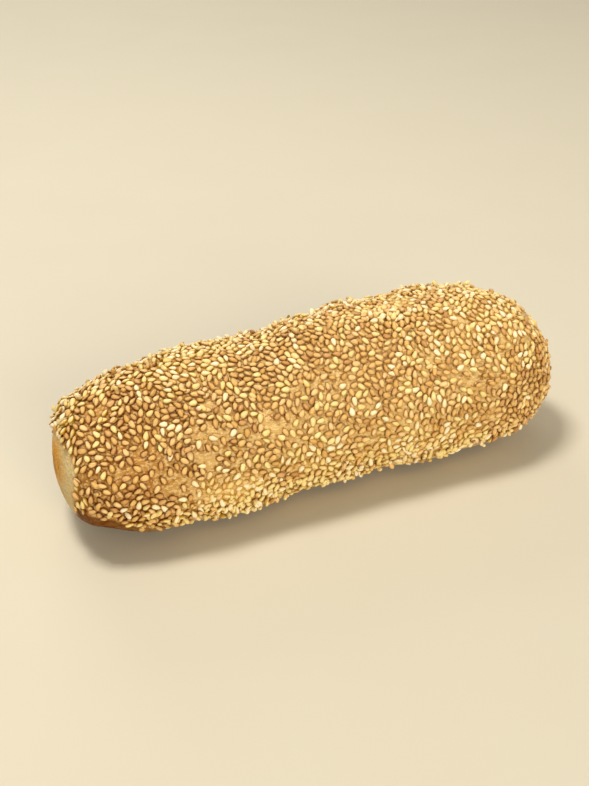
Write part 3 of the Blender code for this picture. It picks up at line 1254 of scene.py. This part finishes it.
@dataclass
class SeedBed:
    """Where the seeds lie: drawn on the crust, settled side by side, and stacked."""

    skin: Crust
    crust: bpy.types.Object
    count: int = 3580
    upper_count: int = 680
    upper_cover: float = 0.10
    seed_length: float = 0.0031
    seed_thickness: float = 0.0012
    # A seed as three discs: their places along it and their radii, as shares of its length, and
    # the heights of their tops, as shares of its thickness.
    disc_places: tuple = (-0.145, 0.065, 0.335)
    disc_radii: tuple = (0.300, 0.268, 0.150)
    disc_tops: tuple = (0.72, 0.72, 0.45)
    # How uneven the cover is, and the waves that make it so: numbers for each axis and a phase.
    patchiness: float = 0.28
    patch_size: float = 0.008
    patch_waves: Table = ((1.0, 0.3, 0.7, 0.4), (-0.5, 1.1, 0.6, 2.0), (0.9, -0.8, 1.2, 4.1))
    # Settling: rounds of pushing, of which some look for neighbours or go back to the crust,
    # with a gap between seeds that shrinks, as a share of their width.
    rounds: int = 60
    search_every: int = 8
    settle_every: int = 2
    search_reach: float = 0.0042
    ease: float = 0.30
    first_gap_share: float = 0.22
    gap_share: float = 0.07
    gap_haste: float = 1.5
    least_distance: float = 1e-9
    alignment: float = 0.002
    turning_share: float = 0.33
    most_turn: float = 0.3
    # Stacking: how soon an overlap lifts a seed fully, and how much of the slope tips it.
    cover_gain: float = 2.2
    cover_start: float = 0.35
    tipped_share: float = 0.8
    # Posing: tilts in degrees, and turns of seeds on edge or upright in radians.
    sunk_share: float = 0.20
    tilt: float = 14.0
    ruffled_tilt: float = 16.0
    pitch_share: float = 0.7
    piled_ruffle: float = 0.25
    on_edge_share: float = 0.05
    on_edge_roll: tuple = (0.8, 1.4)
    upright_share: float = 0.02
    ruffled_upright_share: float = 0.32
    upright_pitch: tuple = (0.5, 1.2)
    turned_rise: float = 0.00025
    random_seed: int = 31

    def __post_init__(self) -> None:
        """Read the crust's mesh for sampling and for settling."""
        self.baking = self.skin.baking
        self.arms = np.array(self.disc_places) * self.seed_length
        self.radii = np.array(self.disc_radii) * self.seed_length
        self.draw = np.random.default_rng(self.random_seed)
        data = self.crust.data
        data.calc_loop_triangles()
        corners = np.empty(len(data.loop_triangles) * 3, np.int32)
        data.loop_triangles.foreach_get("vertices", corners)
        self.corners = corners.reshape(-1, 3)
        self.places = read_places(data)
        self.tree = BVHTree.FromPolygons(self.places.tolist(), self.corners.tolist())

    def discs(self, points: np.ndarray, heading: np.ndarray) -> np.ndarray:
        """Give the middles of the seeds' discs."""
        return points[:, None] + heading[:, None] * self.arms[:, None]

    def carries(
        self, share: np.ndarray, angle: np.ndarray, points: np.ndarray, facing: np.ndarray
    ) -> np.ndarray:
        """Say where seeds lie: not on the blunt end, a scorch or a crease, nor under the roll.

        Args:
            share: Shares of the length.
            angle: Angles round the section, in radians.
            points: The points there.
            facing: The crust's outward directions there.

        Returns:
            Whether each place carries seeds.
        """
        baking = self.baking
        on_end = share * self.skin.form.length < baking.rim(angle)
        scorched = self.skin.from_scorch(points) < baking.bare_scorch_sizes * baking.scorch_size
        low = (points[:, 2] < baking.sole(share)) | (facing[:, 2] < baking.steepest_underside)
        stretched = baking.stretched(share, angle) > baking.crease_edge
        return ~(on_end | scorched | low | stretched)

    def unevenness(self, points: np.ndarray) -> np.ndarray:
        """Give soft noise from about -1 to 1, by which the cover is uneven.

        Args:
            points: Points on the crust.

        Returns:
            One number for each point.
        """
        x, y, z = (points / self.patch_size).T
        total = np.zeros(len(points))
        for turn, (a, b, c, phase) in enumerate(self.patch_waves, 1):
            total += np.sin(a * x + b * y + c * z + phase) * np.cos(b * x - c * y + a * z + phase * turn)
        return total / 2.0

    def crowding(self, patches: Table, level: float) -> np.ndarray:
        """Give how densely each of the crust's triangles is covered.

        Args:
            patches: The crowded and bare patches.
            level: The cover away from them.

        Returns:
            One number for each triangle.
        """
        middle = self.places[self.corners].mean(1)
        values = (self.skin.share, self.skin.angle, self.skin.facing)
        share, angle, facing = (value[self.corners[:, 0]] for value in values)
        dense = level + self.baking.spread(patches, share, angle)
        dense = dense * (1.0 + self.patchiness * self.unevenness(middle))
        return np.maximum(dense, 0.0) * self.carries(share, angle, middle, facing)

    def sample(self, count: int, crowding: np.ndarray) -> np.ndarray:
        """Draw points on the crust's triangles.

        Args:
            count: How many points to draw.
            crowding: How densely each triangle is covered.

        Returns:
            The drawn points.
        """
        a, b, c = (self.places[self.corners[:, corner]] for corner in range(3))
        weight = 0.5 * np.linalg.norm(np.cross(b - a, c - a), axis=1) * crowding
        chosen = self.draw.choice(len(weight), size=count, p=weight / weight.sum())
        u, v = self.draw.random((2, count, 1))
        flip = u + v > 1.0
        u = np.where(flip, 1.0 - u, u)
        v = np.where(flip, 1.0 - v, v)
        return a[chosen] * (1.0 - u - v) + b[chosen] * u + c[chosen] * v

    def settle(self, points: np.ndarray) -> tuple[np.ndarray, np.ndarray, np.ndarray]:
        """Bring points back onto the crust.

        Args:
            points: Points near the crust.

        Returns:
            The nearest points of the crust, its outward directions there, and the number of a
            mesh point beside each.
        """
        found = [self.tree.find_nearest(point) for point in points.tolist()]
        corners = self.corners[[hit[2] for hit in found]]
        facing = unit(self.skin.facing[corners].mean(1))
        return np.array([hit[0] for hit in found]), facing, corners[:, 0]

    def pairs(self, points: np.ndarray) -> tuple[np.ndarray, np.ndarray]:
        """List the pairs of seeds that are near each other.

        Args:
            points: The seeds' middles.

        Returns:
            The lower and the higher number of each pair.
        """
        tree = search_tree(points)
        near = [
            (number, other)
            for number, point in enumerate(points.tolist())
            for _, other, _ in tree.find_range(point, self.search_reach)
            if other > number
        ]
        return tuple(np.array(near).T)

    @staticmethod
    def add_up(count: int, pairs: tuple, to_first: np.ndarray, to_second: np.ndarray) -> np.ndarray:
        """Add up what each seed gets from the pairs that it is in.

        Args:
            count: How many seeds there are.
            pairs: The neighbours, as two lists of numbers.
            to_first: What the first of each pair gets.
            to_second: What the second gets.

        Returns:
            The sum for each seed.
        """
        total = np.zeros((count, 3))
        np.add.at(total, pairs[0], to_first)
        np.add.at(total, pairs[1], to_second)
        return total

    def push_apart(
        self, points: np.ndarray, facing: np.ndarray, heading: np.ndarray, pairs: tuple, gap: float
    ) -> tuple[np.ndarray, np.ndarray]:
        """Move overlapping seeds apart a little and turn neighbours towards each other.

        Args:
            points: The seeds' middles.
            facing: Outward directions.
            heading: Directions along the seeds.
            pairs: The neighbours, as two lists of numbers.
            gap: The room kept between seeds, as a share of their width.

        Returns:
            The new middles and headings.
        """
        first, second = pairs
        count = len(points)
        arms = self.arms[:, None]
        spots = self.discs(points, heading)
        apart = spots[first][:, :, None] - spots[second][:, None]
        distance = np.maximum(np.linalg.norm(apart, axis=-1), self.least_distance)
        overlap = np.maximum((self.radii[:, None] + self.radii) * (1.0 + gap) - distance, 0.0)
        push = apart * (overlap / distance * self.ease)[..., None]
        shift = self.add_up(count, pairs, push.sum((1, 2)), -push.sum((1, 2)))
        by_first = (np.cross(heading[first][:, None], push.sum(2)) * arms).sum(1)
        by_second = (np.cross(heading[second][:, None], -push.sum(1)) * arms).sum(1)
        twist = self.add_up(count, pairs, by_first, by_second)
        turn = (twist * facing).sum(1) / (self.turning_share * self.seed_length) ** 2
        agree = (heading[first] * heading[second]).sum(1)[:, None]
        pull = self.add_up(count, pairs, heading[second] * agree, heading[first] * agree)
        side = np.cross(facing, heading)
        turn = np.clip(turn, -self.most_turn, self.most_turn) + self.alignment * (pull * side).sum(1)
        return points + shift, unit(heading + side * turn[:, None])

    def lay(self, count: int, crowding: np.ndarray) -> Seeds:
        """Lay one layer of seeds and settle it until few overlap.

        Args:
            count: How many seeds to draw.
            crowding: How densely each of the crust's triangles is covered.

        Returns:
            The seeds' points, facing, heading, share and angle.
        """
        points, facing, _ = self.settle(self.sample(count, crowding))
        heading = unit(np.cross(facing, self.draw.normal(size=points.shape)))
        for turn in range(self.rounds):
            if turn % self.search_every == 0:
                pairs = self.pairs(points)
            left = max(1.0 - self.gap_haste * turn / self.rounds, 0.0)
            gap = self.gap_share + (self.first_gap_share - self.gap_share) * left
            points, heading = self.push_apart(points, facing, heading, pairs, gap)
            if turn % self.settle_every == 0:
                points, facing, _ = self.settle(points)
                heading = unit(heading - facing * (heading * facing).sum(1, keepdims=True))
        points, _, corner = self.settle(points)
        share, angle = self.skin.share[corner], self.skin.angle[corner]
        kept = self.carries(share, angle, points, facing)
        laid = {"point": points, "facing": facing, "heading": heading, "share": share, "angle": angle}
        return {name: values[kept] for name, values in laid.items()}

    def stack(self, seeds: Seeds) -> None:
        """Lift and tip the seeds that lie over earlier ones.

        Args:
            seeds: The seeds, in the order they are laid. Gains their lift and pitch.
        """
        count = len(seeds["point"])
        spots = self.discs(seeds["point"], seeds["heading"])
        touching = (self.radii[:, None] + self.radii)[:, None]
        earlier = [[] for _ in range(count)]
        for low, high in zip(*self.pairs(seeds["point"])):
            earlier[high].append(low)
        tops = self.seed_thickness * np.array(self.disc_tops)
        top = np.zeros((count, 3))
        lift = np.zeros(count)
        pitch = np.zeros(count)
        for number, below in enumerate(earlier):
            if below:
                distance = np.linalg.norm(spots[number][:, None, None] - spots[below][None], axis=-1)
                cover = ramp((touching - distance) / touching * self.cover_gain - self.cover_start)
                raised = (np.sqrt(cover) * top[below][None]).max((1, 2))
                slope = math.atan2(raised[2] - raised[0], self.arms[2] - self.arms[0])
                pitch[number] = slope * self.tipped_share
                lift[number] = 0.5 * (raised.max() + raised.mean())
            top[number] = lift[number] + tops
        seeds.update(lift=lift, pitch=pitch)

    def pose(self, seeds: Seeds) -> None:
        """Turn each seed to how it lies, and raise its middle off the crust.

        Args:
            seeds: The seeds, whose points, facing and heading change. Gains which are upright,
                and which are turned, on edge or upright.
        """
        count = len(seeds["point"])
        share, angle = seeds["share"], seeds["angle"]
        piled = self.baking.spread(self.baking.piled, share, angle)
        ruffled = self.baking.spread(self.baking.ruffled, share, angle)
        ruffled = ramp(self.piled_ruffle * piled + ruffled)
        spread = np.radians(self.tilt + self.ruffled_tilt * ruffled)
        roll = self.draw.normal(0.0, spread, count)
        pitch = seeds["pitch"] + self.draw.normal(0.0, self.pitch_share * spread, count)
        on_edge = self.draw.random(count) < self.on_edge_share
        edge_roll = self.draw.choice([-1.0, 1.0], count) * self.draw.uniform(*self.on_edge_roll, count)
        roll = np.where(on_edge, edge_roll, roll)
        upright_share = self.upright_share + self.ruffled_upright_share * ruffled
        upright = ~on_edge & (self.draw.random(count) < upright_share)
        pitch = np.where(upright, -self.draw.uniform(*self.upright_pitch, count), pitch)
        turned = (on_edge | upright).astype(float)
        normal, heading = seeds["facing"], seeds["heading"]
        side = np.cross(normal, heading)
        high = self.seed_thickness * (0.5 - self.sunk_share) + seeds["lift"] + self.turned_rise * turned
        up = normal * np.cos(pitch)[:, None] - heading * np.sin(pitch)[:, None]
        seeds.update(
            upright=upright,
            turned=turned,
            point=seeds["point"] + normal * high[:, None],
            heading=heading * np.cos(pitch)[:, None] + normal * np.sin(pitch)[:, None],
            facing=up * np.cos(roll)[:, None] + side * np.sin(roll)[:, None],
        )

    def build(self) -> Seeds:
        """Lay both layers, stack them and pose each seed.

        Returns:
            All the seeds.
        """
        self.lower = self.lay(self.count, self.crowding(self.baking.crowded, 1.0))
        upper = self.lay(self.upper_count, self.crowding(self.baking.piled, self.upper_cover))
        seeds = {name: np.concatenate([values, upper[name]]) for name, values in self.lower.items()}
        self.stack(seeds)
        self.pose(seeds)
        return seeds

    def resting(self) -> tuple[np.ndarray, np.ndarray]:
        """Give the middles and the radii of the lower layer's discs, which lie on the crust."""
        spots = self.discs(self.lower["point"], self.lower["heading"])
        return spots.reshape(-1, 3), np.tile(self.radii, len(spots))


@dataclass
class SeedCoat:
    """All the seeds: one mesh for each kind, every seed a closed teardrop."""

    bed: SeedBed
    width_share: float = 0.60
    thickness_share: float = 0.43
    point_taper: float = 0.56
    # How wide the taper leaves the widest part of a seed, which is widened back to 1.
    widest: float = 0.77
    sides: int = 8
    rings: int = 6
    length_spread: float = 0.12
    width_spread: float = 0.12
    thickness_spread: float = 0.12
    clearance: float = 0.0001
    random_seed: int = 5
    # Each kind's part of the coat, and what it gains where browned, where pale and if upright.
    mixture: Table = (
        (0.10, 0.20, -0.095, 0.0),
        (0.30, 0.15, -0.24, 0.0),
        (0.40, -0.10, -0.18, 0.0),
        (0.13, -0.08, 0.48, 0.0),
        (0.022, 0.0, 0.28, 0.25),
    )

    def kinds(self, seeds: Seeds) -> np.ndarray:
        """Draw each seed's kind: paler where the crust is pale, browner where it is browned.

        Args:
            seeds: The seeds.

        Returns:
            The number of each seed's kind, in the order of SeedKind.
        """
        baking, form = self.bed.baking, self.bed.skin.form
        share, angle = seeds["share"], seeds["angle"]
        pale = np.clip(baking.spread(baking.pale, share, angle), 0.0, baking.most_pale)
        brown = ramp(baking.spread(baking.browned, share, angle))
        gains = np.stack([np.ones(len(pale)), brown, pale, seeds["upright"]])
        weights = np.maximum(np.array(self.mixture) @ gains, 0.0)
        steps = np.cumsum(weights / weights.sum(0), axis=0)
        kinds = (self.bed.draw.random(len(pale)) > steps).sum(0)
        for place, degrees in baking.white_seeds:
            along = (share - place) * form.length
            around = turn_between(angle, degrees) * form.half_height
            kinds[np.argmin(along**2 + around**2)] = SeedKind.WHITE.number
        return kinds

    def shape(self, tree: ShapeTree) -> Wire:
        """Make one seed of unit length: a flat teardrop with its point at +X.

        Args:
            tree: The tree it is made in.

        Returns:
            The seed, with its places along, across and up it kept under names.
        """
        sockets = {"Segments": tree.given("Sides"), "Rings": tree.given("Rings"), "Radius": 0.5}
        ball = tree.node("GeometryNodeMeshUVSphere", sockets, "Mesh")
        x, y, z = tree.split(tree.node("GeometryNodeInputPosition"))
        along = z * 2.0
        for name, value in (("along", along), ("across", x * 2.0), ("belly", y * 2.0)):
            ball = tree.store(ball, name, value)
        narrowing = (1.0 - tree.given("Point Taper") * (along + 1.0) * 0.5) * (1.0 / self.widest)
        across = x * narrowing * tree.given("Width Share")
        upward = y * narrowing * tree.given("Thickness Share")
        sockets = {"Geometry": ball, "Position": tree.join(z, across, upward)}
        flipped = tree.node("GeometryNodeFlipFaces", {"Mesh": tree.node("GeometryNodeSetPosition", sockets)})
        return tree.node("GeometryNodeSetShadeSmooth", {"Geometry": flipped})

    def tree(self, kind: SeedKind) -> ShapeTree:
        """Make the tree that turns each point into a seed.

        Args:
            kind: The seeds' kind.

        Returns:
            The tree.
        """
        tree = ShapeTree(
            kind.value,
            {
                "Seed Length": self.bed.seed_length,
                "Width Share": self.width_share,
                "Thickness Share": self.thickness_share,
                "Point Taper": self.point_taper,
                "Sides": self.sides,
                "Rings": self.rings,
                "Length Spread": self.length_spread,
                "Width Spread": self.width_spread,
                "Thickness Spread": self.thickness_spread,
                "Random Seed": self.random_seed + kind.number,
                "Material": SEED_FINISHES[kind].make(kind.value),
            },
        )
        spreads = ("Length Spread", "Width Spread", "Thickness Spread")
        long, wide, thick = (
            tree.random(1.0 - tree.given(name), 1.0 + tree.given(name), key)
            for key, name in enumerate(spreads)
        )
        long = long * tree.given("Seed Length")
        sockets = {0: tree.named("facing", "FLOAT_VECTOR"), 1: tree.named("heading", "FLOAT_VECTOR")}
        turn = tree.node("FunctionNodeAxesToRotation", sockets, primary_axis="Z", secondary_axis="X")
        sockets = {
            "Points": tree.store(tree.given("Geometry"), "tint", tree.random(0.0, 1.0, len(spreads))),
            "Instance": self.shape(tree),
            "Rotation": turn,
            "Scale": tree.join(long, long * wide, long * thick),
        }
        coat = tree.node("GeometryNodeInstanceOnPoints", sockets)
        for name in ("facing", "heading"):
            coat = tree.node("GeometryNodeRemoveAttribute", {"Geometry": coat, "Name": name})
        tree.end(coat)
        return tree

    def keep_inside(self, seeds: Seeds) -> None:
        """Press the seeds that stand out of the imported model's box down into it.

        Args:
            seeds: The posed seeds, whose points change.
        """
        half = 0.5 * self.bed.seed_length * (1.0 + self.length_spread)
        wide = half * self.width_share * (1.0 + self.width_spread) / self.widest
        thick = half * self.thickness_share * (1.0 + self.thickness_spread) / self.widest
        side = np.cross(seeds["facing"], seeds["heading"])
        reach = np.sqrt((half * seeds["heading"]) ** 2 + (wide * side) ** 2 + (thick * seeds["facing"]) ** 2)
        low, high = (np.array(corner) for corner in CAD_BOX)
        reach = reach + self.clearance
        seeds["point"] = np.clip(seeds["point"], low + reach, high - reach)

    def piece(self, kind: SeedKind, seeds: Seeds, chosen: np.ndarray) -> bpy.types.Object:
        """Build and dress the seeds of one kind.

        Args:
            kind: The kind.
            seeds: All the seeds.
            chosen: Which of them are of the kind.

        Returns:
            One object with the kind's seeds.
        """
        LOG.info("%s: %d seeds", kind.value, chosen.sum())
        mesh = bpy.data.meshes.new(kind.value)
        mesh.from_pydata(seeds["point"][chosen].tolist(), [], [])
        for name in ("facing", "heading", "turned"):
            write_values(mesh, name, seeds[name][chosen])
        return self.tree(kind).run(kind.value, mesh)

    def build(self) -> list[bpy.types.Object]:
        """Build and dress every kind of seed.

        Returns:
            One object for each kind.
        """
        seeds = self.bed.build()
        self.keep_inside(seeds)
        kinds = self.kinds(seeds)
        return [self.piece(kind, seeds, kinds == kind.number) for kind in SeedKind]


# The studio


@dataclass(frozen=True)
class Studio:
    """Camera, lights and floor. Lengths are in metres, angles in degrees, powers in watts."""

    camera_place: tuple = (-0.14871, -0.32774, 0.23196)
    camera_azimuth: float = -23.551
    camera_elevation: float = 29.712
    camera_roll: float = -0.75
    lens: float = 54.09
    film: float = 36.0
    near_clip: float = 0.01
    floor_side: float = 8.0
    floor_drop: float = 0.00005
    floor_colour: Rgb = shade(206, 197, 176)
    floor_cloud_colour: Rgb = (1.0, 1.0, 1.0)
    floor_cloud_share: float = 0.04
    floor_clouds: tuple = (0.05, 1.0, 1.0, 0.0)
    floor_roughness: float = 0.8
    floor_relief: float = 0.00002
    sky_colour: Rgb = (1.0, 0.96, 0.86)
    sky_strength: float = 0.36
    # A light: its name, its place, its side, its power and its colour.
    lights: tuple = (
        ("key", (-0.25, 0.20, 1.15), 0.3, 10.5, (1.0, 0.97, 0.91)),
        ("fill", (0.0, -2.2, 0.74), 1.0, 38.0, (1.0, 0.94, 0.79)),
        ("back", (0.2, 2.3, 1.0), 1.2, 17.0, (1.0, 0.95, 0.84)),
    )

    def add_camera(self) -> None:
        """Set the camera at the photograph's viewing angle."""
        turn = math.radians(self.camera_azimuth)
        rise = math.radians(self.camera_elevation)
        roll = math.radians(self.camera_roll)
        back = Vector((math.sin(turn) * math.cos(rise), -math.cos(turn) * math.cos(rise), math.sin(rise)))
        right = Vector((math.cos(turn), math.sin(turn), 0.0))
        up = back.cross(right)
        across = right * math.cos(roll) + up * math.sin(roll)
        upward = up * math.cos(roll) - right * math.sin(roll)
        facing = Matrix((across, upward, back)).transposed().to_4x4()
        data = bpy.data.cameras.new("camera")
        data.lens = self.lens
        data.sensor_width = self.film
        data.sensor_fit = "AUTO"
        data.clip_start = self.near_clip
        camera = bpy.data.objects.new("camera", data)
        camera.matrix_world = Matrix.Translation(self.camera_place) @ facing
        bpy.context.scene.collection.objects.link(camera)
        bpy.context.scene.camera = camera

    def add_lights(self) -> None:
        """Set soft lights, each turned towards the roll, and an even sky."""
        for name, place, side, power, colour in self.lights:
            data = bpy.data.lights.new(name, "AREA")
            data.size = side
            data.energy = power
            data.color = colour
            light = bpy.data.objects.new(name, data)
            facing = Vector(place).to_track_quat("Z", "Y").to_matrix().to_4x4()
            light.matrix_world = Matrix.Translation(place) @ facing
            bpy.context.scene.collection.objects.link(light)
        world = bpy.data.worlds.new("sky")
        world.use_nodes = True
        sky = world.node_tree.nodes["Background"]
        sky.inputs["Color"].default_value = (*self.sky_colour, 1.0)
        sky.inputs["Strength"].default_value = self.sky_strength
        bpy.context.scene.world = world

    def add_floor(self) -> None:
        """Lay a plain pale floor under the roll."""
        half = 0.5 * self.floor_side
        outline = ((-half, -half), (half, -half), (half, half), (-half, half))
        corners = [(x, y, -self.floor_drop) for x, y in outline]
        mesh = bpy.data.meshes.new("floor")
        mesh.from_pydata(corners, [], [(0, 1, 2, 3)])
        look = Surface("floor")
        cloudy = look.grain(*self.floor_clouds)
        colour = look.mix(cloudy * self.floor_cloud_share, self.floor_colour, self.floor_cloud_colour)
        mesh.materials.append(look.finish(colour, self.floor_roughness, cloudy, self.floor_relief))
        floor = bpy.data.objects.new("floor", mesh)
        bpy.context.scene.collection.objects.link(floor)

    def build(self) -> None:
        """Set up the whole studio."""
        bpy.context.scene.view_settings.view_transform = "Standard"
        self.add_camera()
        self.add_lights()
        self.add_floor()


def main() -> None:
    """Build the studio and the roll, and report each piece."""
    logging.basicConfig(level=logging.INFO, format="%(message)s")
    Studio().build()
    form = LoafForm()
    skin = Crust(form, Baking(), form.origin(CAD_BOX[0][0]))
    crust = skin.build()
    bed = SeedBed(skin, crust)
    seeds = SeedCoat(bed).build()
    skin.gather(crust, *bed.resting())
    for piece in (crust, *seeds):
        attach(piece, BODY)
        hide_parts(NODE)
        LOG.info("%s: %d faces", piece.name, len(piece.data.polygons))


if __name__ == "__main__":
    main()
